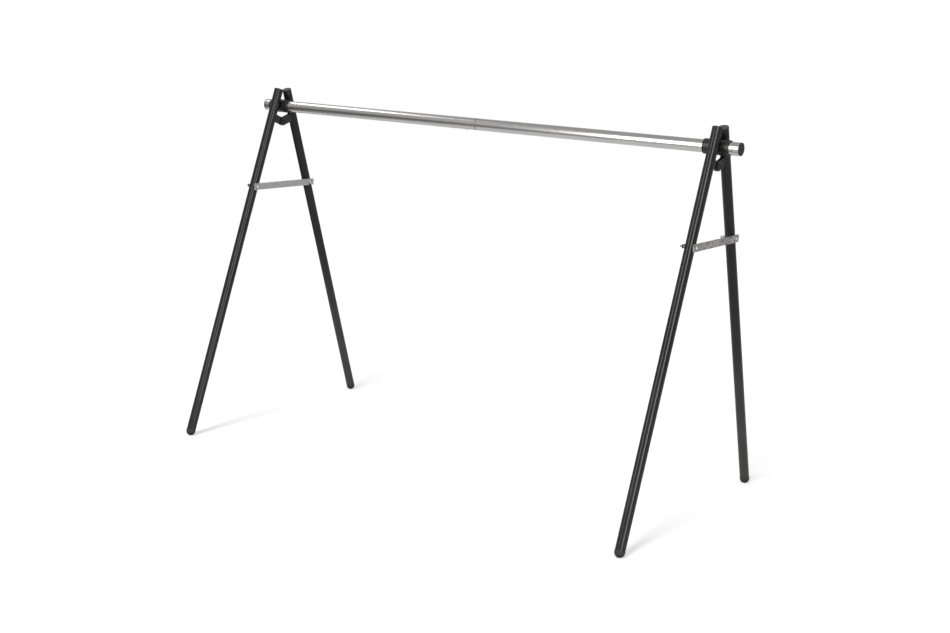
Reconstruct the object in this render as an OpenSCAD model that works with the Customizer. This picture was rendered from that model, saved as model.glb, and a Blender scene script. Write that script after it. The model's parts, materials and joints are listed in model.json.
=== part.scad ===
// Folding bike stand: a two-piece steel crossbar carried by two folding trestles.
// Bikes hang by the nose of the saddle over the crossbar.
// X runs along the crossbar, the front legs stand on the -Y side, Z is up.
// The origin is on the floor, under the middle of the crossbar.

/* [Crossbar] */
// Length of the crossbar without its end plugs
crossbar_length = 2000; // [1400:10:2600]
// Outside diameter of the crossbar tube
crossbar_d = 42; // [36:0.5:46]
// Wall thickness of the crossbar tube
crossbar_wall = 2; // [1.5:0.1:3]
// Height of the crossbar's axis above the floor
crossbar_height = 1236; // [1150:1:1400]
// Length of the inner joiner, half of it in each tube
joiner_length = 300; // [200:10:400]
// Wall thickness of the inner joiner
joiner_wall = 2; // [1.5:0.1:3]
// Gap all round between the joiner and the tube bore
joiner_gap = 0.1; // [0.05:0.01:0.1]
// Chamfer on the cut ends of the crossbar, the joiner and the sleeves
end_chamfer = 0.5; // [0.2:0.1:0.8]
// Diameter of the rivets that hold the joiner in the left tube
rivet_d = 5; // [4:0.5:6]
// Distance of one rivet from the crossbar's middle, and of the other from the joiner's end
rivet_inset = 45; // [15:1:48]

/* [Trestles] */
// Distance from each end of the crossbar to the middle of its trestle
trestle_inset = 74.5; // [60:0.5:300]
// Outside diameter of a leg
leg_d = 33.7; // [28:0.1:36]
// Wall thickness of a leg
leg_wall = 1.8; // [1.2:0.1:2.5]
// Lean of a leg from the vertical
leg_angle = 19.5; // [16:0.1:22]
// How far a leg runs on above the crossbar, measured along the leg
leg_above = 49; // [40:1:80]
// Outside diameter of the sleeve round the crossbar
sleeve_d = 50; // [48:0.5:56]
// Length of the sleeve
sleeve_length = 90; // [75:1:140]
// How far the sleeve's middle lies to the left of its legs
sleeve_shift = 4; // [0:0.5:6]
// Gap all round between the crossbar and the sleeve's bore
sleeve_gap = 0.4; // [0.2:0.1:0.6]
// Gap between a leg and the sleeve that it leans on
lean_gap = 0.3; // [0.2:0.1:0.5]
// Radius of the weld pad between the rear leg and the sleeve
weld_pad_r = 12; // [8:0.5:14]

/* [Hinge] */
// Drop from the crossbar's axis to the hinge bolt
hinge_drop = 61.5; // [56:0.5:80]
// Width of a hinge ear
ear_width = 30; // [26:0.5:36]
// Thickness of the single ear on the front leg
front_ear_t = 5; // [4:0.5:6]
// Thickness of each ear of the pair on the rear leg
rear_ear_t = 4; // [3:0.5:5]
// Gap between the front ear and each rear ear
ear_gap = 0.2; // [0.1:0.05:0.5]
// Radius of the weld beads along the ears
bead_r = 2.2; // [1.5:0.1:3]

/* [Brace] */
// Height of the brace above the floor
brace_height = 931; // [800:1:980]
// Width of the brace's flat bar
brace_width = 25; // [22:0.5:30]
// Thickness of the brace
brace_t = 4; // [3:0.5:6]
// How far the brace runs past its pivot bolt
brace_front_end = 19; // [11:0.5:20]
// How far the brace runs past the hook stud
brace_rear_end = 18; // [15:0.5:19]
// Radius of the brace's corners
brace_corner = 2.5; // [1:0.5:5]
// Gap all round between the hook notch and its stud
notch_gap = 0.4; // [0.2:0.1:0.6]
// Widening of the notch towards its mouth, on each side
notch_flare = 1.5; // [0.5:0.1:3]
// Gap on each side of the brace, between the washers
brace_gap = 0.1; // [0.05:0.05:0.3]

/* [Fasteners] */
// Diameter of the hinge, brace and stud bolts
bolt_d = 8; // [6:1:8]
// Diameter of a bolt's domed head
bolt_head_d = 14; // [13:0.5:15]
// Height of a bolt's domed head
bolt_head_h = 4.4; // [3:0.1:5]
// Chamfer on the end of a bolt's thread
bolt_point = 1; // [0.5:0.1:1.5]
// Width across the flats of the socket in a bolt's head
socket_w = 5; // [4:0.5:5]
// Depth of the socket in a bolt's head
socket_depth = 3; // [2:0.1:3]
// Width across the flats of a locking nut
nut_w = 13; // [12:0.5:14]
// Height of a locking nut's hexagon
nut_h = 6.5; // [5:0.1:7]
// Step in from the flats to a locking nut's collar
nut_rim = 1; // [0.5:0.1:1.5]
// Height of the round collar on a locking nut
nut_collar = 1.5; // [1:0.1:2]
// Length of thread that shows past a hinge nut
hinge_thread = 2; // [1:0.5:6]
// Length of thread that shows past a nut on a leg
leg_thread = 7.5; // [1:0.5:9]
// Outside diameter of a washer
washer_d = 16; // [15:0.5:18]
// Thickness of a washer
washer_t = 1.6; // [1:0.1:2]
// Gap all round between a pivot bolt and its hole
pivot_gap = 0.06; // [0.01:0.01:0.1]
// Gap all round between a bolt and a plain clearance hole
hole_gap = 0.2; // [0.1:0.05:0.4]
// Gap all round between a screw and its threaded hole
thread_gap = 0.05; // [0.02:0.01:0.1]
// Diameter of the clamp screw in a sleeve
clamp_screw_d = 8; // [6:1:8]
// Length of the clamp screw
clamp_screw_length = 6; // [5:0.5:8]
// Gap between the clamp screw's tip and the crossbar
clamp_tip_gap = 0.2; // [0.1:0.05:0.3]
// Place of the clamp screw along the sleeve, from the middle of its legs
clamp_screw_x = 24; // [22:0.5:30]
// Angle of the clamp screw above the horizontal, on the front side
clamp_screw_angle = 40; // [20:1:70]

/* [Plugs] */
// How much wider a leg's end cap is than the leg
cap_lip = 1; // [0.2:0.1:2]
// Thickness of the cap's head on top of a leg
cap_t = 4; // [3:0.1:6]
// Radius of the rounded edge on a cap or plug
cap_round = 1.6; // [0.5:0.1:2]
// Height of a foot's collar above its round tip
foot_collar = 5; // [3:0.1:10]
// Depth of the flat that the foot stands on
foot_flat = 0.8; // [0.5:0.1:1.5]
// Thickness of the crossbar plug's head
plug_t = 5; // [3.5:0.1:6]
// Rise of the crossbar plug's domed face above its rim
plug_dome = 1.5; // [0.5:0.1:3]
// Length of the ribbed stem that sits in a tube
stem_length = 24; // [15:1:30]
// Wall thickness of a stem
stem_wall = 2; // [1.5:0.1:3]
// Number of ribs round a stem
stem_ribs = 3; // [2:1:4]
// How far a rib stands out from the stem
rib_rise = 1; // [0.5:0.1:1.5]
// Thickness of a rib
rib_t = 1.6; // [1:0.1:2]
// Gap between a rib and the tube's bore
rib_gap = 0.05; // [0.02:0.01:0.2]

/* [Hidden] */
$fn = 64;
dome_fn = 720;
crossbar_bore = crossbar_d - 2 * crossbar_wall;
joiner_d = crossbar_bore - 2 * joiner_gap;
joiner_bore = joiner_d - 2 * joiner_wall;
left_x = -(crossbar_length / 2 - trestle_inset);
right_x = -left_x;

leg_r = leg_d / 2;
leg_bore = leg_d - 2 * leg_wall;
sleeve_bore = crossbar_d + 2 * sleeve_gap;
leg_offset = sleeve_d / 2 + lean_gap + leg_r;
foot_r = (leg_d + cap_lip) / 2;
beside_height = crossbar_height + leg_offset * sin(leg_angle);
foot_s = (foot_r - foot_flat - beside_height) / cos(leg_angle);
leg_low = foot_s + foot_collar;
brace_s = (brace_height - beside_height) / cos(leg_angle);

hinge_s = -hinge_drop * cos(leg_angle);
hinge_reach = leg_offset + hinge_drop * sin(leg_angle);
hinge_height = crossbar_height - hinge_drop;
rear_ear_x = front_ear_t / 2 + ear_gap + rear_ear_t / 2;
hinge_face = front_ear_t / 2 + ear_gap + rear_ear_t;

brace_y = leg_offset * cos(leg_angle) - brace_s * sin(leg_angle);
brace_span = 2 * brace_y;
brace_face = leg_r + washer_t + brace_gap;
brace_head = brace_face + brace_t + brace_gap + washer_t;
fold_angle = 2 * leg_angle;
lift_ratio = (90 - leg_angle) / fold_angle;
notch_lean = atan((hinge_height - brace_height) / (brace_span * (0.5 + lift_ratio)));
notch_r = bolt_d / 2 + notch_gap;

nut_total = nut_h + nut_collar;
nut_corner_d = nut_w / cos(30);
nut_bevel = tan(30) * (nut_corner_d - nut_w) / 2;
rivet_places = [-rivet_inset, rivet_inset - joiner_length / 2];
rivet_head_d = 2 * rivet_d;
rivet_head_h = rivet_d / 4;
rivet_tail_d = 1.4 * rivet_d;
rivet_tail_h = rivet_d / 2;
rivet_tail_seat = joiner_bore / 2 - sqrt(pow(joiner_bore / 2, 2) - pow(rivet_tail_d / 2, 2));
overshoot = 1;

black = [0.10, 0.10, 0.11];
black_plastic = [0.05, 0.05, 0.05];
zinc = [0.72, 0.72, 0.70];
bright_zinc = [0.80, 0.80, 0.79];

TRESTLE_NODES = ["sleeve", "clamp_screw", "rear_leg", "front_leg", "rear_ears", "front_ear",
    "hinge_bolt", "hinge_washers", "hinge_nut", "rear_leg_cap", "front_leg_cap", "rear_foot", "front_foot",
    "brace", "brace_bolt", "brace_washers", "brace_nut", "hook_stud", "stud_washers", "stud_nut"];
CROSSBAR_NODES = ["crossbar_left", "crossbar_right", "crossbar_joiner", "joiner_rivets",
    "crossbar_plug_left", "crossbar_plug_right"];

// Frames of reference

// A cylinder or profile that is drawn along Z is laid along X.
module along_x() {
    rotate([0, 90, 0]) children();
}

// On the crossbar's axis.
module on_crossbar() {
    translate([0, 0, crossbar_height]) children();
}

// On the front leg's axis: Z runs up the leg, Y points at the other leg,
// and the origin is where the leg passes the crossbar.
module on_front_leg() {
    on_crossbar() rotate([-leg_angle, 0, 0]) translate([0, -leg_offset, 0]) children();
}

module on_rear_leg() {
    mirror([0, 1, 0]) on_front_leg() children();
}

module at_hinge() {
    translate([0, 0, hinge_height]) children();
}

module at_brace_pivot() {
    translate([0, -brace_y, brace_height]) children();
}

module at_hook_stud() {
    translate([0, brace_y, brace_height]) children();
}

// Shared shapes

module tube(outer, inner, length) {
    difference() {
        cylinder(h = length, d = outer);
        translate([0, 0, -overshoot]) cylinder(h = length + 2 * overshoot, d = inner);
    }
}

// Round bar whose two ends are chamfered: so far inward and so far along.
module chamfered_bar(d, length, inward, along) {
    cylinder(h = along, d1 = d - 2 * inward, d2 = d);
    translate([0, 0, along]) cylinder(h = length - 2 * along, d = d);
    translate([0, 0, length - along]) cylinder(h = along, d1 = d, d2 = d - 2 * inward);
}

module chamfered_tube(outer, inner, length) {
    difference() {
        chamfered_bar(outer, length, end_chamfer, end_chamfer);
        translate([0, 0, -overshoot]) cylinder(h = length + 2 * overshoot, d = inner);
    }
}

// A washer that starts at x and lies on its +X side.
module washer_at(x) {
    translate([x, 0, 0]) along_x() tube(washer_d, bolt_d + 2 * hole_gap, washer_t);
}

// Bolt with a domed socket head. The head sits on the plane x, the shank runs to -X.
module bolt_at(x, length) {
    dome_r = (pow(bolt_head_d / 2, 2) + pow(bolt_head_h, 2)) / (2 * bolt_head_h);
    translate([x, 0, 0]) along_x() {
        translate([0, 0, -length]) cylinder(h = bolt_point, d1 = bolt_d - 2 * bolt_point, d2 = bolt_d);
        translate([0, 0, bolt_point - length]) cylinder(h = length - bolt_point, d = bolt_d);
        difference() {
            rotate_extrude() intersection() {
                translate([0, bolt_head_h - dome_r]) circle(r = dome_r);
                square([bolt_head_d / 2, bolt_head_h]);
            }
            translate([0, 0, bolt_head_h - socket_depth])
                cylinder(h = socket_depth + overshoot, d = socket_w / cos(30), $fn = 6);
        }
    }
}

// Locking nut on a bolt along X. Its seat is on the plane x, it lies on the -X side.
module nut_at(x) {
    translate([x, 0, 0]) rotate([0, -90, 0]) difference() {
        union() {
            intersection() {
                cylinder(h = nut_h, d = nut_corner_d, $fn = 6);
                chamfered_bar(nut_corner_d, nut_h, (nut_corner_d - nut_w) / 2, nut_bevel);
            }
            translate([0, 0, nut_h - nut_bevel])
                cylinder(h = nut_bevel + nut_collar, d1 = nut_w - nut_rim, d2 = nut_w - 2 * nut_rim);
        }
        translate([0, 0, -overshoot]) cylinder(h = nut_total + 2 * overshoot, d = bolt_d + 2 * thread_gap);
    }
}

// Half profile of a ribbed stem: a cup that opens at its lower end.
module stem_profile(bore) {
    rib_r = bore / 2 - rib_gap;
    stem_r = rib_r - rib_rise;
    translate([stem_r - stem_wall, -stem_length]) square([stem_wall, stem_length]);
    for (i = [0 : stem_ribs - 1])
        translate([stem_r - stem_wall, -stem_length * (i + 0.5) / stem_ribs - rib_t / 2])
            square([stem_wall + rib_rise, rib_t]);
}

// Half profile of a flat head with a rounded edge.
module head_profile(r, t) {
    square([r - cap_round, t]);
    square([r, t - cap_round]);
    translate([r - cap_round, t - cap_round]) intersection() {
        circle(r = cap_round);
        square(cap_round);
    }
}

// Crossbar

module crossbar_half(side) {
    on_crossbar() mirror([side < 0 ? 1 : 0, 0, 0]) along_x()
        chamfered_tube(crossbar_d, crossbar_bore, crossbar_length / 2);
}

module rivet_holes() {
    for (x = rivet_places)
        translate([x, 0, 0]) rotate([180, 0, 0]) cylinder(h = crossbar_d, d = rivet_d);
}

module crossbar_left() {
    color(bright_zinc) difference() {
        crossbar_half(-1);
        on_crossbar() rivet_holes();
    }
}

module crossbar_right() {
    color(bright_zinc) crossbar_half(1);
}

module crossbar_joiner() {
    color(zinc) difference() {
        on_crossbar() translate([-joiner_length / 2, 0, 0]) along_x()
            chamfered_tube(joiner_d, joiner_bore, joiner_length);
        on_crossbar() rivet_holes();
    }
}

// Blind rivets from below: a low domed head outside, a flared end inside.
module joiner_rivets() {
    shank = crossbar_wall + joiner_gap + joiner_wall + rivet_tail_seat;
    head_r = (pow(rivet_head_d / 2, 2) + pow(rivet_head_h, 2)) / (2 * rivet_head_h);
    color(zinc) on_crossbar() for (x = rivet_places)
        translate([x, 0, -crossbar_d / 2]) {
            rotate([180, 0, 0]) rotate_extrude() intersection() {
                translate([0, rivet_head_h - head_r]) circle(r = head_r);
                square([rivet_head_d / 2, rivet_head_h]);
            }
            cylinder(h = shank, d = rivet_d);
            translate([0, 0, shank]) cylinder(h = rivet_tail_h, d1 = rivet_tail_d, d2 = rivet_d);
        }
}

module crossbar_plug(side) {
    rim = plug_t - plug_dome;
    dome_r = (pow(crossbar_d / 2, 2) + pow(plug_dome, 2)) / (2 * plug_dome);
    color(black_plastic) on_crossbar() mirror([side < 0 ? 1 : 0, 0, 0])
        translate([crossbar_length / 2, 0, 0]) along_x() rotate_extrude() {
            square([crossbar_d / 2, rim]);
            translate([0, rim]) intersection() {
                translate([0, plug_dome - dome_r]) circle(r = dome_r, $fn = dome_fn);
                square([crossbar_d / 2, plug_dome]);
            }
            stem_profile(crossbar_bore);
        }
}

// Trestle heads

module clamp_screw_place() {
    on_crossbar() translate([clamp_screw_x, 0, 0]) rotate([90 - clamp_screw_angle, 0, 0]) children();
}

// Sleeve with the pad of weld that joins it to the rear leg.
module sleeve() {
    color(black) difference() {
        union() {
            on_crossbar() translate([-sleeve_shift - sleeve_length / 2, 0, 0]) along_x()
                chamfered_bar(sleeve_d, sleeve_length, end_chamfer, end_chamfer);
            difference() {
                on_rear_leg() rotate([-90, 0, 0]) cylinder(h = leg_offset - crossbar_d / 2, r = weld_pad_r);
                on_rear_leg() translate([0, 0, -sleeve_d]) cylinder(h = 2 * sleeve_d, d = leg_d);
            }
        }
        on_crossbar() translate([-sleeve_shift - sleeve_length / 2 - overshoot, 0, 0]) along_x()
            cylinder(h = sleeve_length + 2 * overshoot, d = sleeve_bore);
        clamp_screw_place() cylinder(h = sleeve_d, d = clamp_screw_d + 2 * thread_gap);
    }
}

module clamp_screw() {
    color(zinc) clamp_screw_place() translate([0, 0, crossbar_d / 2 + clamp_tip_gap]) difference() {
        cylinder(h = clamp_screw_length, d = clamp_screw_d);
        translate([0, 0, clamp_screw_length / 2])
            cylinder(h = clamp_screw_length, d = clamp_screw_d / 2 / cos(30), $fn = 6);
    }
}

// Legs

module leg() {
    color(black) difference() {
        translate([0, 0, leg_low]) tube(leg_d, leg_bore, leg_above - leg_low);
        translate([-leg_d, 0, brace_s]) along_x() cylinder(h = 2 * leg_d, d = bolt_d + 2 * hole_gap);
    }
}

module leg_cap() {
    color(black_plastic) translate([0, 0, leg_above]) rotate_extrude() {
        head_profile((leg_d + cap_lip) / 2, cap_t);
        stem_profile(leg_bore);
    }
}

// Foot before its flat is cut: a round tip, a collar and a ribbed stem.
module foot_blank() {
    translate([0, 0, foot_s]) rotate_extrude() {
        intersection() {
            circle(r = foot_r);
            translate([0, -foot_r]) square(foot_r);
        }
        square([foot_r, foot_collar]);
        translate([0, foot_collar]) mirror([0, 1]) stem_profile(leg_bore);
    }
}

module floor_cut() {
    translate([0, 0, -leg_d]) cube([3 * leg_d, crossbar_length, 2 * leg_d], center = true);
}

// Hinge

// Flat ear from the leg's skin to the hinge, with a round end and the hinge hole.
module ear_plate(t) {
    rotate([90, 0, 90]) translate([0, 0, -t / 2]) linear_extrude(t) difference() {
        union() {
            translate([0, hinge_s - ear_width / 2]) square([hinge_reach, ear_width]);
            translate([hinge_reach, hinge_s]) circle(d = ear_width);
        }
        translate([hinge_reach, hinge_s]) circle(d = bolt_d + 2 * pivot_gap);
    }
}

module ear_bead(x) {
    translate([x, sqrt(pow(leg_r, 2) - pow(x, 2)), hinge_s - ear_width / 2])
        cylinder(h = ear_width, r = bead_r, $fn = 32);
}

module leg_core() {
    translate([0, 0, hinge_s - ear_width]) cylinder(h = 2 * ear_width, d = leg_d);
}

module front_ear() {
    color(black) on_front_leg() difference() {
        union() {
            ear_plate(front_ear_t);
            for (side = [-1, 1]) ear_bead(side * front_ear_t / 2);
        }
        leg_core();
    }
}

module rear_ears() {
    color(black) on_rear_leg() difference() {
        for (side = [-1, 1]) {
            translate([side * rear_ear_x, 0, 0]) ear_plate(rear_ear_t);
            ear_bead(side * hinge_face);
        }
        leg_core();
    }
}

module hinge_bolt() {
    length = 2 * hinge_face + 2 * washer_t + nut_total + hinge_thread;
    color(zinc) at_hinge() bolt_at(hinge_face + washer_t, length);
}

module hinge_washers() {
    color(zinc) at_hinge() {
        washer_at(hinge_face);
        washer_at(-hinge_face - washer_t);
    }
}

module hinge_nut() {
    color(zinc) at_hinge() nut_at(-hinge_face - washer_t);
}

// Brace

module brace_outline() {
    low = -brace_front_end;
    high = brace_span + brace_rear_end;
    half = brace_width / 2;
    translate([low + brace_corner, -half]) square([high - low - 2 * brace_corner, brace_width]);
    translate([low, brace_corner - half]) square([high - low, brace_width - 2 * brace_corner]);
    for (x = [low + brace_corner, high - brace_corner], y = [brace_corner - half, half - brace_corner])
        translate([x, y]) circle(r = brace_corner);
}

// Notch that drops over the stud. It leans the way the stud leaves it.
module notch_outline() {
    depth = brace_width;
    mouth = notch_r + notch_flare * depth / (brace_width / 2);
    circle(r = notch_r);
    rotate([0, 0, -notch_lean])
        polygon([[-notch_r, 0], [notch_r, 0], [mouth, -depth], [-mouth, -depth]]);
}

module brace() {
    color(zinc) at_brace_pivot() translate([brace_face, 0, 0]) rotate([90, 0, 90]) linear_extrude(brace_t)
        difference() {
            brace_outline();
            circle(d = bolt_d + 2 * pivot_gap);
            translate([brace_span, 0]) notch_outline();
        }
}

module leg_bolt() {
    bolt_at(brace_head, brace_head + leg_r + washer_t + nut_total + leg_thread);
}

module leg_washers() {
    washer_at(leg_r);
    washer_at(brace_head - washer_t);
    washer_at(-leg_r - washer_t);
}

module leg_nut() {
    nut_at(-leg_r - washer_t);
}

// One sub-part of a trestle, in the trestle's own place.
module trestle_part(name) {
    if (name == "sleeve") sleeve();
    if (name == "clamp_screw") clamp_screw();
    if (name == "rear_leg") on_rear_leg() leg();
    if (name == "front_leg") on_front_leg() leg();
    if (name == "rear_ears") rear_ears();
    if (name == "front_ear") front_ear();
    if (name == "hinge_bolt") hinge_bolt();
    if (name == "hinge_washers") hinge_washers();
    if (name == "hinge_nut") hinge_nut();
    if (name == "rear_leg_cap") on_rear_leg() leg_cap();
    if (name == "front_leg_cap") on_front_leg() leg_cap();
    if (name == "rear_foot") rear_foot();
    if (name == "front_foot") front_foot();
    if (name == "brace") brace();
    if (name == "brace_bolt") color(zinc) at_brace_pivot() leg_bolt();
    if (name == "brace_washers") color(zinc) at_brace_pivot() leg_washers();
    if (name == "brace_nut") color(zinc) at_brace_pivot() leg_nut();
    if (name == "hook_stud") color(zinc) at_hook_stud() leg_bolt();
    if (name == "stud_washers") color(zinc) at_hook_stud() leg_washers();
    if (name == "stud_nut") color(zinc) at_hook_stud() leg_nut();
}

module front_foot() {
    color(black_plastic) difference() {
        on_front_leg() foot_blank();
        floor_cut();
    }
}

module rear_foot() {
    color(black_plastic) difference() {
        on_rear_leg() foot_blank();
        floor_cut();
    }
}

crossbar_left();
crossbar_right();
crossbar_joiner();
joiner_rivets();
crossbar_plug(-1);  // crossbar_plug_left
crossbar_plug(1);  // crossbar_plug_right
for (part = TRESTLE_NODES) {
    translate([left_x, 0, 0]) trestle_part(part);
    translate([right_x, 0, 0]) trestle_part(part);
}
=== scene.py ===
"""Folding bike stand: the looks of every surface, the studio and the camera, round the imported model.

Lengths are in metres, or in millimetres where a comment says so. X runs along the crossbar, the front legs
stand on the -Y side, Z is up.
"""

import json
import math
import random

import bmesh
import bpy
from mathutils import Matrix, Vector


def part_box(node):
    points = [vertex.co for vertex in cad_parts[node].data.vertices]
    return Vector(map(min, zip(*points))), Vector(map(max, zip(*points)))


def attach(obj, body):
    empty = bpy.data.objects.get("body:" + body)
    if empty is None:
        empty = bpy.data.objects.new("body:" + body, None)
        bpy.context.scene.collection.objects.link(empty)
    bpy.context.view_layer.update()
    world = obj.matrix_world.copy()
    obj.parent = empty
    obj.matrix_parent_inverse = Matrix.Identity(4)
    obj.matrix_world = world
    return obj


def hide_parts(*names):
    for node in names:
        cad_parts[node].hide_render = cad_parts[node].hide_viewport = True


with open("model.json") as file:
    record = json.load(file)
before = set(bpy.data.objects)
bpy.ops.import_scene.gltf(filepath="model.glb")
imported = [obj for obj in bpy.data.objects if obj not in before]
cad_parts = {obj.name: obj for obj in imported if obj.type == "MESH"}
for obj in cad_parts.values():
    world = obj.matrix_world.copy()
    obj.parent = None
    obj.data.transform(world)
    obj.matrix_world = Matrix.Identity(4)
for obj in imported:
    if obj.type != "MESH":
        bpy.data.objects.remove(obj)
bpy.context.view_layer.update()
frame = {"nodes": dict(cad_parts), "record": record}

MM = 0.001
SIDES = ("left", "right")
SEED = 11

# Sizes that the new pieces share with the solids, in millimetres.
CROSSBAR_HEIGHT = 1236.0
LEG_LEAN = math.radians(19.5)
LEG_OFFSET = 42.15
LEG_R = 16.85
SLEEVE_R = 25.0
WELD_PAD_R = 12.0
HINGE_DROP = 61.5
HINGE_ALONG = -HINGE_DROP * math.cos(LEG_LEAN)
EAR_WIDTH = 30.0
FRONT_EAR_HALF = 2.5
REAR_EARS_HALF = 6.7
REAR_EAR_INNER = 2.7
BOLT_R = 4.0
BOLT_HEAD_R = 7.0
BOLT_HEAD_H = 4.4
SOCKET_HALF = 2.5
SOCKET_DEPTH = 3.0
NUT_HALF = 6.5
NUT_H = 6.5
NUT_COLLAR = 1.5


# Meshes


def centre(node):
    """Middle of a CAD node's box."""
    low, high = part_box(node)
    return (low + high) / 2


def skin_rings(mesh, rings, closed):
    """Quads between rings of points; an open row of rings is capped at both ends."""
    rows = [[mesh.verts.new(point) for point in ring] for ring in rings]
    count = len(rows[0])
    following = rows[1:] + rows[:1] if closed else rows[1:]
    for first, second in zip(rows, following):
        for i in range(count):
            k = (i + 1) % count
            mesh.faces.new((first[i], first[k], second[k], second[i]))
    if not closed:
        mesh.faces.new(rows[0])
        mesh.faces.new(rows[-1])


def add_piece(name, rings, body, finish, closed=False, crease=32):
    """A new piece skinned over rings: smooth, with sharp edges kept, on its body and in its finish."""
    mesh = bmesh.new()
    skin_rings(mesh, rings, closed)
    bmesh.ops.recalc_face_normals(mesh, faces=mesh.faces)
    data = bpy.data.meshes.new(name)
    mesh.to_mesh(data)
    mesh.free()
    data.polygons.foreach_set("use_smooth", [True] * len(data.polygons))
    data.set_sharp_from_angle(angle=math.radians(crease))
    data.materials.append(FINISHES[finish])
    piece = bpy.data.objects.new(name, data)
    bpy.context.collection.objects.link(piece)
    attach(piece, body)
    return piece


def hexagon(half, angle):
    """Distance from the centre to a hexagon of this half width, at an angle."""
    turn = math.pi / 3
    return half / math.cos((angle % turn) - turn / 2)


def turned_ring(place, along, radius, segments):
    """Points round the X axis through a place, in millimetres; the radius may be a function of the angle."""
    ring = []
    for i in range(segments):
        angle = 2 * math.pi * i / segments
        r = radius(angle) if callable(radius) else radius
        ring.append(place + Vector((along, r * math.cos(angle), r * math.sin(angle))) * MM)
    return ring


# Shader graphs


class Signal:
    """An output socket that shader maths can be written with."""

    def __init__(self, finish, socket):
        self.finish = finish
        self.socket = socket

    def __add__(self, other):
        return self.finish.math("ADD", self, other)

    __radd__ = __add__

    def __sub__(self, other):
        return self.finish.math("SUBTRACT", self, other)

    def __rsub__(self, other):
        return self.finish.math("SUBTRACT", other, self)

    def __mul__(self, other):
        return self.finish.math("MULTIPLY", self, other)

    def __abs__(self):
        return self.finish.math("ABSOLUTE", self)

    def ramp(self, start, end):
        """0 below start, 1 above end, smooth between."""
        settings = {"interpolation_type": "SMOOTHSTEP"}
        inputs = {"Value": self, "From Min": start, "From Max": end}
        return self.finish.node("ShaderNodeMapRange", settings, inputs).out("Result")


class Built:
    """A node that has its settings and its inputs."""

    def __init__(self, finish, node):
        self.finish = finish
        self.node = node

    def out(self, name=0):
        return Signal(self.finish, self.node.outputs[name])


class Finish:
    """A material or a world and its node graph."""

    def __init__(self, owner):
        owner.use_nodes = True
        self.owner = owner
        self.tree = owner.node_tree
        self.tree.nodes.clear()

    def node(self, kind, settings=None, inputs=None):
        """Any node: its type, its settings, then the values or links of its sockets."""
        node = self.tree.nodes.new(kind)
        for name, value in (settings or {}).items():
            if name == "stops":
                self.set_stops(node.color_ramp, value)
            else:
                setattr(node, name, value)
        for name, value in (inputs or {}).items():
            if isinstance(value, Signal):
                self.tree.links.new(value.socket, node.inputs[name])
            else:
                node.inputs[name].default_value = value
        return Built(self, node)

    @staticmethod
    def set_stops(color_ramp, stops):
        """Gives a colour ramp exactly these stops."""
        while len(color_ramp.elements) > len(stops):
            color_ramp.elements.remove(color_ramp.elements[-1])
        while len(color_ramp.elements) < len(stops):
            color_ramp.elements.new(1)
        for element, (position, color) in zip(color_ramp.elements, stops):
            element.position = position
            element.color = color

    def math(self, operation, *values):
        return self.node("ShaderNodeMath", {"operation": operation}, dict(enumerate(values))).out()

    def place(self):
        """Position in the object's own frame, which is the row frame at rest."""
        return self.node("ShaderNodeTexCoord").out("Object")

    def split(self, vector):
        built = self.node("ShaderNodeSeparateXYZ", None, {0: vector})
        return built.out(0), built.out(1), built.out(2)

    def join(self, x, y, z):
        return self.node("ShaderNodeCombineXYZ", None, {0: x, 1: y, 2: z}).out()

    def noise(self, vector, scale, detail=2, roughness=0.5):
        inputs = {"Vector": vector, "Scale": scale, "Detail": detail, "Roughness": roughness}
        return self.node("ShaderNodeTexNoise", None, inputs).out(0)

    def cells(self, vector, scale, output="Distance"):
        return self.node("ShaderNodeTexVoronoi", None, {"Vector": vector, "Scale": scale}).out(output)

    def mix(self, factor, first, second):
        """Colour between first and second."""
        settings = {"data_type": "RGBA"}
        return self.node("ShaderNodeMix", settings, {0: factor, 6: first, 7: second}).out(2)

    def mix_shader(self, factor, first, second):
        return self.node("ShaderNodeMixShader", None, {0: factor, 1: first, 2: second}).out()

    def bump(self, height, distance, strength, below=None):
        """Normal that a height gives, on top of the normal below."""
        inputs = {"Height": height, "Distance": distance, "Strength": strength}
        if below is not None:
            inputs["Normal"] = below
        return self.node("ShaderNodeBump", None, inputs).out()

    def surface(self, **inputs):
        """The main shader, on the material's output."""
        names = {"color": "Base Color", "rough": "Roughness", "metal": "Metallic", "normal": "Normal",
                 "specular": "Specular IOR Level"}
        inputs = {names[key]: value for key, value in inputs.items()}
        shader = self.node("ShaderNodeBsdfPrincipled", None, inputs)
        self.node("ShaderNodeOutputMaterial", None, {"Surface": shader.out()})
        return self.owner


def new_finish(name):
    return Finish(bpy.data.materials.new(name))


def grey(value, warmth=0.0):
    return (value * (1 + warmth), value, value * (1 - warmth), 1)


# Studio

PHOTO_WIDTH = 950
SENSOR = 36
FOCAL_PX = 1355.8
CLIP_START = 0.05
CLIP_END = 100
CAMERA_AT = (2.7087, -4.0097, 1.5522)
CAMERA_YAW = 33.748
CAMERA_PITCH = 11.803
CAMERA_ROLL = 2.912

KEY_FROM = (0.03, -0.72, 0.95)
KEY_STRENGTH = 2.2
KEY_SPREAD = 15
# Place, aim, width, height and brightness of each soft box.
SOFT_BOXES = {
    "front_softbox": ((-0.42, -2.35, 1.88), (0.3, -0.2, 1.15), 0.6, 2.2, 5.2),
    "left_softbox": ((-3.35, -0.5, 4.45), (-0.5, -0.1, 1.236), 2.4, 0.7, 3),
    "right_softbox": ((2.35, -1.75, 1.60), (0.6, -0.3, 0.8), 0.7, 2.7, 6.6),
}

WORLD_LEVEL = 0.5
ROOM_WARMTH = 0.01
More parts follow.
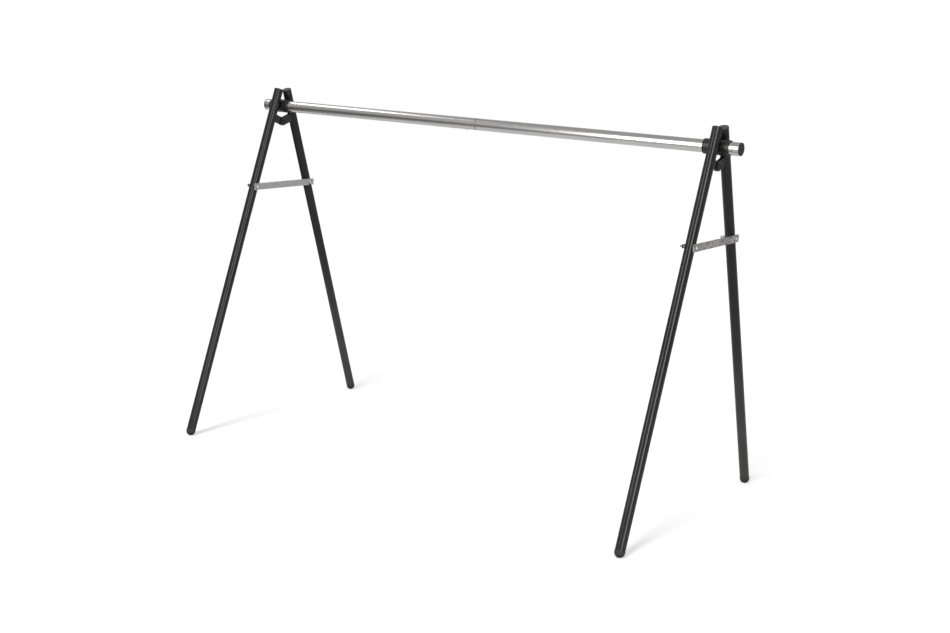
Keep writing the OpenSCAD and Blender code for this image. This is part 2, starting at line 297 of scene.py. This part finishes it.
# Brightness that gloss mirrors, by the rise of the mirrored ray, and the same for rays that go to the left.
WALL_TONES = [(-1.0, 0.50), (-0.50, 0.42), (-0.30, 0.34), (-0.12, 0.34), (0.0, 0.40), (0.25, 0.42),
              (0.60, 0.35), (0.80, 0.31), (0.92, 0.42), (1.0, 0.44)]
LEFT_TONES = [(-1.0, 0.50), (-0.62, 0.30), (-0.42, 0.08), (-0.20, 0.07), (-0.05, 0.16), (0.08, 0.30),
              (0.30, 0.40), (0.60, 0.42), (0.80, 0.30), (1.0, 0.40)]
LEFT_FROM = (0.40, 0.62)
# The backdrop that level rays meet behind the stand: where it starts, how high it goes, its darker middle.
BACKDROP_FROM = (0.25, 0.75)
BACKDROP_RISE = (0.3, 0.7)
BACKDROP_MIDDLE = (0.72, 0.90)
BACKDROP_TONE = 0.62
BACKDROP_DARK = 0.30

FLOOR_CORNERS = [(-3.6, 1.4), (0.0, -2.08), (2.0, -2.7), (5.0, -2.7), (5.0, 6.5), (-5.0, 6.5), (-5.0, 1.4)]
FLOOR_TONE = 0.57
FLOOR_GLOW = 0.48


def make_camera():
    """Camera at the photograph's place and angle."""
    data = bpy.data.cameras.new("camera")
    data.sensor_width = SENSOR
    data.lens = FOCAL_PX / PHOTO_WIDTH * SENSOR
    data.clip_start = CLIP_START
    data.clip_end = CLIP_END
    camera = bpy.data.objects.new("camera", data)
    bpy.context.collection.objects.link(camera)
    turn = Matrix.Rotation(math.radians(CAMERA_YAW), 4, "Z")
    turn = turn @ Matrix.Rotation(math.radians(90 - CAMERA_PITCH), 4, "X")
    turn = turn @ Matrix.Rotation(math.radians(CAMERA_ROLL), 4, "Z")
    camera.matrix_world = Matrix.Translation(CAMERA_AT) @ turn
    bpy.context.scene.camera = camera


def make_key():
    """A broad sun that keeps the floor even and draws soft shadows; gloss doesn't show it."""
    data = bpy.data.lights.new("high_key", "SUN")
    data.angle = math.radians(KEY_SPREAD)
    data.energy = KEY_STRENGTH
    key = bpy.data.objects.new("high_key", data)
    bpy.context.collection.objects.link(key)
    key.rotation_euler = Vector(KEY_FROM).to_track_quat("Z", "Y").to_euler()
    key.visible_glossy = False


def make_soft_box(name, at, aim, width, height, brightness):
    """A soft box that shows in gloss alone; the sun and the world light the colours."""
    data = bpy.data.lights.new(name, "AREA")
    data.shape = "RECTANGLE"
    data.size = width
    data.size_y = height
    data.energy = brightness * math.pi * width * height
    light = bpy.data.objects.new(name, data)
    bpy.context.collection.objects.link(light)
    light.location = at
    light.rotation_euler = (Vector(aim) - Vector(at)).to_track_quat("-Z", "Y").to_euler()
    light.visible_camera = False
    light.visible_diffuse = False


def make_world():
    """White for the camera, an even grey as light, and in gloss the walls, the dark left and the backdrop."""
    world = bpy.data.worlds.new("studio")
    bpy.context.scene.world = world
    finish = Finish(world)
    x, y, z = finish.split(finish.node("ShaderNodeTexCoord").out("Generated"))

    def tones(table):
        stops = [(0.5 + rise / 2, grey(value, ROOM_WARMTH)) for rise, value in table]
        return finish.node("ShaderNodeValToRGB", {"stops": stops}, {0: z * 0.5 + 0.5}).out()

    def background(color):
        return finish.node("ShaderNodeBackground", None, {"Color": color}).out()

    mirrored = finish.mix((0 - x).ramp(*LEFT_FROM), tones(WALL_TONES), tones(LEFT_TONES))
    backdrop = finish.mix(y.ramp(*BACKDROP_MIDDLE), grey(BACKDROP_TONE), grey(BACKDROP_DARK))
    behind = y.ramp(*BACKDROP_FROM) * (1 - abs(z).ramp(*BACKDROP_RISE))
    mirrored = finish.mix(behind, mirrored, backdrop)
    path = finish.node("ShaderNodeLightPath")
    lit = finish.mix_shader(path.out("Is Glossy Ray"), background(grey(WORLD_LEVEL)), background(mirrored))
    shown = finish.mix_shader(path.out("Is Camera Ray"), lit, background(grey(1.0)))
    finish.node("ShaderNodeOutputWorld", None, {"Surface": shown})


def make_floor():
    """Pale sheet that keeps the stand's shadow and ends a few steps in front; gloss doesn't see its glow."""
    mesh = bpy.data.meshes.new("studio_floor")
    sheet = bmesh.new()
    sheet.faces.new([sheet.verts.new((x, y, 0)) for x, y in FLOOR_CORNERS])
    sheet.to_mesh(mesh)
    sheet.free()
    floor = bpy.data.objects.new("studio_floor", mesh)
    bpy.context.collection.objects.link(floor)
    finish = new_finish("studio_floor")
    paint = finish.node("ShaderNodeBsdfDiffuse", None, {"Color": grey(FLOOR_TONE)}).out()
    glow = finish.node("ShaderNodeEmission", None, {"Color": grey(1.0), "Strength": FLOOR_GLOW}).out()
    bright = finish.node("ShaderNodeAddShader", None, {0: paint, 1: glow}).out()
    seen = finish.node("ShaderNodeLightPath").out("Is Camera Ray")
    shown = finish.mix_shader(seen, paint, bright)
    finish.node("ShaderNodeOutputMaterial", None, {"Surface": shown})
    mesh.materials.append(finish.owner)


# Finishes: a noise is given by its scale per metre, its detail and its roughness, a bump by its depth in
# metres and its strength.

PEEL_SCALE = 1000
SPARK_SCALE = 2600
DRAW_STRETCH = 0.035
DUST_AND_REFLECTION_TOP = 0.70
DUST_AND_REFLECTION_FADE = 0.55
DUST_WARMTH = 0.03
# Tone toward the floor on each leg: dust, and on the rear legs also a painted reflection of the bright floor.
FRONT_LEG_DUST_AND_REFLECTION = 0.020
REAR_LEG_DUST_AND_REFLECTION = 0.062
STAINED_END = (0.955, 0.998)
SEAM_HALF = (0.0010, 0.0026)
WEATHERED_FROM = (-0.6, 0.6)
# Heights over which the foot's painted contact shade fades into its dusty tone.
FOOT_CONTACT_SHADE = (0.002, 0.016)


def orange_peel(finish, place):
    """Normal of a powder coat's fine skin."""
    return finish.bump(finish.noise(place, PEEL_SCALE), 0.00020, 0.14)


def powder_coat(finish, lean, dust_and_reflection_tone):
    """Satin black coat on a leaning tube: orange peel, draw lines, rubbed patches, and dust toward the floor,
    which on the rear legs is also a painted reflection of the floor.
    """
    place = finish.place()
    x, y, z = finish.split(place)
    across = y * math.cos(lean) - z * math.sin(lean)
    along = y * math.sin(lean) + z * math.cos(lean)
    draw = finish.noise(finish.join(x, across, along * DRAW_STRETCH), 330, 3, 0.6)
    broad = finish.noise(place, 9, 4, 0.55)
    patches = finish.noise(place, 60, 5, 0.65).ramp(0.58, 0.76)
    # Lighter toward the floor: dust, and with the rear legs' tone also a painted reflection of the floor.
    lightening = (DUST_AND_REFLECTION_TOP - z).ramp(0.0, DUST_AND_REFLECTION_FADE) * (0.2 + broad * 0.7 + draw * 0.6)
    color = finish.mix(broad.ramp(0.35, 0.7), grey(0.010), grey(0.015))
    color = finish.mix(patches * 0.30, color, grey(0.032))
    color = finish.mix(lightening, color, grey(dust_and_reflection_tone, DUST_WARMTH))
    rough = 0.16 + broad * 0.05 + draw * 0.07 + patches * 0.12
    normal = finish.bump(draw, 0.00030, 0.30, orange_peel(finish, place))
    return finish.surface(color=color, rough=rough, normal=normal, specular=0.42)


def welded_coat(finish):
    """Black coat over short welded pieces: uneven, lumpy and rough near the beads, with weld spatter whose dots
    are painted lighter as glints.
    """
    place = finish.place()
    lumps = finish.noise(place, 170, 3, 0.6)
    broad = finish.noise(place, 40, 4, 0.6)
    sparse = finish.noise(place, 75).ramp(0.50, 0.60)
    spatter_and_glints = (1 - finish.cells(place, 190).ramp(0.10, 0.24)) * sparse
    color = finish.mix(broad.ramp(0.35, 0.7), grey(0.013), grey(0.026))
    # Painted glints: the spatter dots are coloured lighter than the coat round them.
    color = finish.mix(spatter_and_glints * 0.5, color, grey(0.075))
    rough = 0.20 + broad * 0.10 + lumps * 0.08
    normal = finish.bump(lumps, 0.0010, 0.45, orange_peel(finish, place))
    normal = finish.bump(spatter_and_glints, 0.0006, 0.8, normal)
    return finish.surface(color=color, rough=rough, normal=normal, specular=0.5)


def zinc_tube(finish):
    """Bright zinc plate on a drawn tube: draw lines, handling marks, tinted stains at its ends, a dark seam."""
    place = finish.place()
    x, y, z = finish.split(place)
    lines = finish.noise(finish.join(x * 0.02, y, z), 2600, 2, 0.6)
    rings = finish.noise(finish.join(x, y * 0.05, z * 0.05), 900, 3, 0.6)
    cloud = finish.noise(finish.join(x * 0.5, y, z), 14, 4, 0.6)
    marks = finish.noise(finish.join(x * 0.15, y, z), 160, 4, 0.7).ramp(0.62, 0.78)
    near_end = abs(x).ramp(*STAINED_END)
    stain = finish.noise(place, 60, 3, 0.6)
    seam = 1 - abs(x).ramp(*SEAM_HALF)
    color = finish.mix(cloud.ramp(0.3, 0.75), (0.80, 0.79, 0.77, 1), (0.72, 0.72, 0.73, 1))
    color = finish.mix(marks * 0.5, color, grey(0.55))
    color = finish.mix(near_end * stain.ramp(0.48, 0.66) * 0.7, color, (0.80, 0.66, 0.38, 1))
    color = finish.mix(near_end * (1 - stain).ramp(0.50, 0.66) * 0.5, color, (0.58, 0.70, 0.82, 1))
    color = finish.mix(seam * 0.85, color, grey(0.13))
    rough = 0.155 + lines * 0.08 + cloud * 0.06 + marks * 0.14 + seam * 0.35
    normal = finish.bump(lines, 0.00003, 0.10)
    normal = finish.bump(rings, 0.00003, 0.05, normal)
    return finish.surface(color=color, rough=rough, metal=1.0, normal=normal)


def brace_zinc(finish):
    """Dull zinc plate on flat bar, with small pits: cleaner on the left, mottled and worn on the right."""
    place = finish.place()
    weathered = 0.2 + finish.split(place)[0].ramp(*WEATHERED_FROM) * 0.8
    spangle = finish.split(finish.cells(place, 260, "Color"))[0]
    mottle = finish.noise(place, 55, 5, 0.65)
    patches = finish.noise(place, 34, 4, 0.6)
    pits = finish.cells(place, 700).ramp(0.0, 0.25)
    blend = spangle * 0.45 + mottle * 0.55
    worn = finish.mix(blend.ramp(0.34, 0.62), grey(0.30, 0.02), grey(0.66, 0.01))
    worn = finish.mix(patches.ramp(0.46, 0.58) * 0.65, worn, (0.25, 0.235, 0.22, 1))
    clean = finish.mix(blend.ramp(0.30, 0.70), (0.58, 0.565, 0.57, 1), grey(0.66))
    color = finish.mix(weathered, clean, worn)
    rough = 0.34 + mottle * 0.22
    normal = finish.bump(mottle, 0.0006, 0.25)
    normal = finish.bump(pits, 0.0002, 0.2, normal)
    return finish.surface(color=color, rough=rough, metal=0.85, normal=normal)


def fastener_zinc(finish):
    """Zinc-plated bolts, nuts, washers, rivets and joiner."""
    place = finish.place()
    cloud = finish.noise(place, 180, 4, 0.6)
    nicks = finish.noise(place, 900, 3, 0.7).ramp(0.6, 0.8)
    color = finish.mix(cloud.ramp(0.3, 0.7), grey(0.58), grey(0.70, 0.015))
    rough = 0.28 + cloud * 0.14 + nicks * 0.15
    normal = finish.bump(cloud, 0.0001, 0.3)
    return finish.surface(color=color, rough=rough, metal=1.0, normal=normal)


def blackened_steel(finish):
    """Black zinc on the hinge's fasteners, the brace's nut and the clamp screw, rubbed on the high spots."""
    place = finish.place()
    cloud = finish.noise(place, 240, 4, 0.6)
    rubbed = finish.noise(place, 700, 4, 0.7).ramp(0.60, 0.80)
    color = finish.mix(cloud.ramp(0.3, 0.7), grey(0.020), grey(0.034))
    color = finish.mix(rubbed * 0.4, color, grey(0.16))
    rough = 0.26 + cloud * 0.10 + rubbed * 0.10
    normal = finish.bump(cloud, 0.0001, 0.25)
    return finish.surface(color=color, rough=rough, normal=normal, metal=0.25)


def spark_texture(finish, place):
    """Fine texture of a moulded part: its noise and its normal."""
    spark = finish.noise(place, SPARK_SCALE, 2, 0.6)
    return spark, finish.bump(spark, 0.00012, 0.4)


def moulded_plastic(finish, tone, rough_base):
    """Moulded plastic of one tone with a fine spark texture and a little dust."""
    place = finish.place()
    spark, normal = spark_texture(finish, place)
    lightening = finish.noise(place, 120, 5, 0.7).ramp(0.5, 0.8)
    color = finish.mix(lightening * 0.5, grey(tone), grey(tone * 2.6))
    rough = rough_base + spark * 0.10 + lightening * 0.10
    return finish.surface(color=color, rough=rough, normal=normal, specular=0.45)


def dusty_shaded_foot(finish):
    """Black rubber tip: dusty and scuffed above, with painted contact shade making it near black where it meets
    the ground.
    """
    place = finish.place()
    height = finish.split(place)[2]
    spark, normal = spark_texture(finish, place)
    scuffs = finish.noise(place, 150, 5, 0.7)
    # Painted contact shade: near black at the ground, dust and scuffs above.
    dust_over_contact_shade = height.ramp(*FOOT_CONTACT_SHADE) * (0.35 + scuffs * 0.9)
    color = finish.mix(dust_over_contact_shade, grey(0.004), grey(0.040, DUST_WARMTH))
    rough = 0.44 + spark * 0.10 + scuffs * 0.12
    normal = finish.bump(scuffs, 0.0004, 0.3, normal)
    return finish.surface(color=color, rough=rough, normal=normal, specular=0.45)


RECIPES = {
    "bright_zinc_tube": (zinc_tube,),
    "black_powder_coat": (welded_coat,),
    "front_leg_coat": (powder_coat, LEG_LEAN, FRONT_LEG_DUST_AND_REFLECTION),
    "rear_leg_coat": (powder_coat, -LEG_LEAN, REAR_LEG_DUST_AND_REFLECTION),
    "brace_zinc": (brace_zinc,),
    "fastener_zinc": (fastener_zinc,),
    "blackened_steel": (blackened_steel,),
    "black_plastic": (moulded_plastic, 0.016, 0.42),
    # The caps' tone is lighter than the other black plastic: painted light on their domes, lit from above.
    "cap_plastic": (moulded_plastic, 0.046, 0.30),
    "foot_rubber": (dusty_shaded_foot,),
    "nut_nylon": (moulded_plastic, 0.32, 0.45),
}
FINISHES = {name: recipe(new_finish(name), *values) for name, (recipe, *values) in RECIPES.items()}

# Width of the broken edge in millimetres, by the ending of the node's name.
SOFT_EDGES = {"brace": 0.5, "front_ear": 0.5, "rear_ears": 0.5, "washers": 0.25, "sleeve": 0.3,
              "clamp_screw": 0.3, "cap": 0.3, "rivets": 0.15}
SAME_POINT = 0.000002
SHARP_ANGLE = 38


def soften(node, width):
    """Breaks the sharp edges of a CAD node by a small round."""
    weld = node.modifiers.new("weld", "WELD")
    weld.merge_threshold = SAME_POINT
    bevel = node.modifiers.new("soft_edges", "BEVEL")
    bevel.width = width * MM
    bevel.segments = 2
    bevel.limit_method = "ANGLE"
    bevel.angle_limit = math.radians(SHARP_ANGLE)
    bevel.use_clamp_overlap = True
    bevel.harden_normals = False
    normals = node.modifiers.new("even_normals", "WEIGHTED_NORMAL")
    normals.keep_sharp = True


def node_finish(name, slot):
    """Finish of a CAD node: its slot's, or a closer one for legs, caps and blackened fasteners."""
    if name.endswith(("hinge_washers", "clamp_screw")):
        return "blackened_steel"
    if name.endswith("_cap"):
        return "cap_plastic"
    for leg in ("front_leg", "rear_leg"):
        if name.endswith(leg):
            return f"{leg}_coat"
    return slot


def dress_nodes():
    """Each CAD node gets its finish; those whose names end in a SOFT_EDGES key also get softly broken edges."""
    slots = {row["node"]: row["material_slot"] for row in frame["record"]["subparts"]}
    for name, node in frame["nodes"].items():
        node.data.materials.clear()
        node.data.materials.append(FINISHES[node_finish(name, slots[name])])
        for ending, width in SOFT_EDGES.items():
            if name.endswith(ending):
                soften(node, width)


# Bolts and nuts, in millimetres

BOLTS = {"hinge_bolt": "rear_frame", "brace_bolt": "front_frame", "hook_stud": "rear_frame"}
NUTS = {"hinge_nut": "rear_frame", "brace_nut": "front_frame", "stud_nut": "rear_frame"}
EDGE_BREAK = 0.3

BOLT_SIDES = 48
DOME_STEPS = 8
HEAD_EDGE_H = 0.25
HEAD_TAPER = 0.02
SOCKET_CONE = 0.5
SOCKET_FLOOR = 0.98
SOCKET_MOUTH = (0.4, 0.35)
SOCKET_RIM = 0.25
SOCKET_RIM_DEPTH = 0.12
THREAD_PITCH = 1.25
THREAD_DEPTH = 0.62
THREAD_LENGTH = 14.0
THREAD_STEPS = 8
# The thread's cut is full at the middle of a turn and falls from there by this much per turn.
THREAD_ROOT = 1.15
THREAD_FLANK = 2.6
TIP_CHAMFER = 1.0
POINT_R = 0.15
TIP_POINT_R = 0.4
THREAD_LEAD = 0.01

NUT_SIDES = 72
NUT_CREASE = 24
NUT_CHAMFER = 0.15
FLANK_STEPS = 6
COLLAR_STEPS = 5
BORE_GAP = 0.05
# Height over the hexagon and inset from its flats; depth under the collar's top and width beyond the bore.
COLLAR_FOOT = ((0.0, 0.75), (0.25, 0.95))
COLLAR_MOUTH = ((0.2, 0.75), (0.6, 0.7), (0.6, 0.0))
COLLAR_INSET = 1.7
COLLAR_ROUND = (0.7, 0.75)
# Depth in the nylon ring and width beyond the bolt, round its section.
NYLON_SECTION = ((0.25, -0.25), (0.05, -0.05), (0.0, 0.35), (0.08, 0.68), (0.5, 0.7), (0.5, -0.3))
NYLON_SUNK = 0.12


def thread_radius(along, angle):
    """Radius of the thread at a distance from the bolt's end, with a flat crest and a round root."""
    phase = (along / THREAD_PITCH - angle / (2 * math.pi)) % 1
    cut = min(1.0, max(0.0, THREAD_ROOT - THREAD_FLANK * abs(phase - 0.5)))
    return BOLT_R - THREAD_DEPTH * cut * cut * (3 - 2 * cut)


def fastener_finish(name):
    return "blackened_steel" if "hinge" in name or name.endswith("brace_nut") else "fastener_zinc"


def socket_bolt(name, body):
    """Bolt with a domed socket head in place of the solid's plain one; its thread is cut."""
    low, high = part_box(name)
    middle = (low + high) / 2
    seat = (high.x - middle.x) / MM - BOLT_HEAD_H
    top = seat + BOLT_HEAD_H
    tip = (low.x - middle.x) / MM
    dome_r = (BOLT_HEAD_R ** 2 + BOLT_HEAD_H ** 2) / (2 * BOLT_HEAD_H)
    rings = []

    def ring(along, radius):
        rings.append(turned_ring(middle, along, radius, BOLT_SIDES))

    def socket(angle):
        return hexagon(SOCKET_HALF, angle)

    ring(top - SOCKET_DEPTH - SOCKET_CONE, POINT_R)
    ring(top - SOCKET_DEPTH, lambda angle: socket(angle) * SOCKET_FLOOR)
    for depth in SOCKET_MOUTH:
        ring(top - depth, socket)
    rim = SOCKET_HALF / math.cos(math.pi / 6) + SOCKET_RIM
    ring(top - SOCKET_RIM_DEPTH, rim)
    rise = math.acos(rim / dome_r)
    foot = math.acos(BOLT_HEAD_R / dome_r)
    for i in range(DOME_STEPS + 1):
        angle = rise + (foot - rise) * i / DOME_STEPS
        ring(top - dome_r + dome_r * math.sin(angle), dome_r * math.cos(angle))
    ring(seat + HEAD_EDGE_H, BOLT_HEAD_R - HEAD_TAPER)
    ring(seat, BOLT_HEAD_R - EDGE_BREAK)
    ring(seat, BOLT_R + EDGE_BREAK)
    ring(seat - EDGE_BREAK, BOLT_R)
    start = tip + THREAD_LENGTH
    ring(start + THREAD_LEAD, BOLT_R)
    steps = int(THREAD_LENGTH / THREAD_PITCH * THREAD_STEPS)
    for i in range(steps + 1):
        along = start - THREAD_LENGTH * i / steps
        point = BOLT_R - max(0.0, TIP_CHAMFER - (along - tip))
        fade = min(1.0, (start - along) / THREAD_PITCH)
        ring(along, lambda angle: min(point, BOLT_R - fade * (BOLT_R - thread_radius(along - tip, angle))))
    ring(tip, TIP_POINT_R)
    piece = add_piece(name + "_cut", rings, body, fastener_finish(name))
    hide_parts(name)


def locking_nut(name, body):
    """Nut with bevelled corners, a rolled collar and a nylon ring, in place of the solid's plain one."""
    low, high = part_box(name)
    middle = (low + high) / 2
    seat = (high.x - middle.x) / MM
    corner = NUT_HALF / math.cos(math.pi / 6)
    bevel = (corner - NUT_HALF + NUT_CHAMFER) / math.sqrt(3)
    bore = BOLT_R + BORE_GAP
    collar_top = NUT_H + NUT_COLLAR
    rings = []

    def ring(depth, radius):
        rings.append(turned_ring(middle, seat - depth, radius, NUT_SIDES))

    def flank(depth):
        """The hexagon, cut by a cone near either face."""
        cone = NUT_HALF - NUT_CHAMFER + math.sqrt(3) * min(depth, NUT_H - depth)
        ring(depth, lambda angle: min(hexagon(NUT_HALF, angle), cone))

    ring(0.0, bore + EDGE_BREAK)
    for i in range(FLANK_STEPS + 1):
        flank(bevel * i / FLANK_STEPS)
    for i in range(FLANK_STEPS + 1):
        flank(NUT_H - bevel * (FLANK_STEPS - i) / FLANK_STEPS)
    for height, inset in COLLAR_FOOT:
        ring(NUT_H + height, NUT_HALF - inset)
    for i in range(COLLAR_STEPS + 1):
        turn = math.pi / 2 * i / COLLAR_STEPS
        round_h, round_r = COLLAR_ROUND
        ring(collar_top - round_h * (1 - math.sin(turn)), NUT_HALF - COLLAR_INSET + round_r * math.cos(turn))
    for depth, beyond in COLLAR_MOUTH:
        ring(collar_top - depth, bore + beyond)
    ring(EDGE_BREAK, bore)
    nut = add_piece(name + "_cut", rings, body, fastener_finish(name), True, NUT_CREASE)
    nylon_top = seat - NUT_H - NUT_COLLAR + NYLON_SUNK
    rings = [turned_ring(middle, nylon_top + depth, BOLT_R + beyond, NUT_SIDES)
             for depth, beyond in NYLON_SECTION]
    nylon = add_piece(name + "_nylon", rings, body, "nut_nylon", True)
    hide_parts(name)
    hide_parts(name)


def make_fasteners():
    for side in SIDES:
        for bolt, body in BOLTS.items():
            socket_bolt(f"{side}_{bolt}", f"{side}_{body}")
        for nut, body in NUTS.items():
            locking_nut(f"{side}_{nut}", f"{side}_{body}")


# Weld beads, in millimetres

# Which leg, the side of the crossbar that it stands on, and its ears' inner and outer faces from the middle.
EARS = (("front", 1, 0.0, FRONT_EAR_HALF), ("rear", -1, REAR_EAR_INNER, REAR_EARS_HALF))
EAR_BEAD_R = 2.35
EAR_PATH_STEP = 0.28
CORNER_SPAN = 4
PAD_STEPS = 260
PAD_BEAD_SPREAD = 0.9
BEAD_SIDES = 14
BEAD_CREASE = 60
BEAD_END = 0.04
STEEP = 0.8
# A bead's scales: their pitch, how it wanders, and how the bead swells with them and slowly along its path.
RIPPLE_PITCH = 2.1
RIPPLE_WANDER = 0.25
WANDER_RATE = 0.9
SWELL_BASE = 0.93
SWELL_RIPPLE = 0.12
SWELL_SLOW = 0.03
SLOW_RATE = 0.37


def leg_point(side, facing, across, toward, along):
    """A point from a leg's own measures: across it, toward the other leg, and up it from the crossbar."""
    middle = centre(f"{side}_front_leg").x
    y = (toward - LEG_OFFSET) * math.cos(LEG_LEAN) + along * math.sin(LEG_LEAN)
    z = CROSSBAR_HEIGHT - (toward - LEG_OFFSET) * math.sin(LEG_LEAN) + along * math.cos(LEG_LEAN)
    return Vector((middle + across * MM, facing * y * MM, z * MM))


def weld_bead(name, path, radii, body, closed):
    """Rippled bead along a path of points: overlapping scales, each a little different."""
    maker = random.Random(SEED + len(name) + len(path))
    count = len(path)
    lengths = [0.0]
    for first, second in zip(path, path[1:]):
        lengths.append(lengths[-1] + (second - first).length / MM)
    offset = maker.random() * RIPPLE_PITCH
    rings = []
    for i, place in enumerate(path):
        ahead = path[(i + 1) % count] if closed or i + 1 < count else place
        behind = path[i - 1] if closed or i else place
        run = (ahead - behind).normalized()
        out = (Vector((0, 0, 1)) if abs(run.z) < STEEP else Vector((1, 0, 0))).cross(run)
        out.normalize()
        other = run.cross(out)
        wander = RIPPLE_WANDER * math.sin(lengths[i] * WANDER_RATE)
        phase = (lengths[i] + offset + wander) / RIPPLE_PITCH
        swell = SWELL_BASE + SWELL_RIPPLE * abs(math.cos(math.pi * phase))
        swell = swell + SWELL_SLOW * math.sin(lengths[i] * SLOW_RATE + offset)
        taper = 1.0
        if not closed:
            near_end = min(lengths[i], lengths[-1] - lengths[i]) / radii[i]
            taper = math.sqrt(max(BEAD_END, 1 - max(0.0, 1 - near_end) ** 2))
        ring = []
        for k in range(BEAD_SIDES):
            turn = 2 * math.pi * k / BEAD_SIDES
            r = radii[i] * swell * taper * MM
            ring.append(place + (out * math.cos(turn) + other * math.sin(turn)) * r)
        rings.append(ring)
    add_piece(name, rings, body, "black_powder_coat", closed, BEAD_CREASE)


def ear_root_path(side, facing, inner, outer):
    """C-shaped path on the leg's skin: round the upper end, down the outer face and round the lower end."""
    half = EAR_WIDTH / 2
    corners = [(inner, half), (outer, half), (outer, -half), (inner, -half)]
    points = []
    for (x0, s0), (x1, s1) in zip(corners, corners[1:]):
        steps = max(2, int(math.hypot(x1 - x0, s1 - s0) / EAR_PATH_STEP))
        for i in range(steps):
            t = i / steps
            points.append((x0 + (x1 - x0) * t, s0 + (s1 - s0) * t))
    points.append(corners[-1])
    path = []
    for i in range(len(points)):
        near = points[max(0, i - CORNER_SPAN): i + CORNER_SPAN + 1]
        x, along = (sum(values) / len(near) for values in zip(*near))
        path.append(leg_point(side, facing, x, math.sqrt(LEG_R ** 2 - x * x), HINGE_ALONG + along))
    return path


def sleeve_pad_bead(side):
    """Path and radii of the bead that fills the gap between the rear leg and the sleeve, round the pad."""
    path, radii = [], []
    for i in range(PAD_STEPS):
        turn = 2 * math.pi * i / PAD_STEPS
        u, v = WELD_PAD_R * math.cos(turn), WELD_PAD_R * math.sin(turn)
        on_leg = math.sqrt(LEG_R ** 2 - u * u)
        on_sleeve = LEG_OFFSET - math.sqrt(SLEEVE_R ** 2 - v * v)
        path.append(leg_point(side, -1, u, (on_leg + on_sleeve) / 2, v))
        radii.append((on_sleeve - on_leg) / 2 + PAD_BEAD_SPREAD)
    return path, radii


def make_welds():
    """Beads where the ears meet their legs, and where the rear leg meets the sleeve."""
    for side in SIDES:
        for leg, facing, inner, outer in EARS:
            for word, hand in (("left", -1), ("right", 1)):
                path = ear_root_path(side, facing, hand * inner, hand * outer)
                radii = [EAR_BEAD_R] * len(path)
                weld_bead(f"{side}_{leg}_ear_weld_{word}", path, radii, f"{side}_{leg}_frame", False)
        path, radii = sleeve_pad_bead(side)
        weld_bead(f"{side}_sleeve_weld", path, radii, f"{side}_rear_frame", True)


make_camera()
make_key()
for box_name, box_values in SOFT_BOXES.items():
    make_soft_box(box_name, *box_values)
make_world()
make_floor()
dress_nodes()
make_fasteners()
make_welds()

bpy.context.scene.view_settings.view_transform = "Standard"
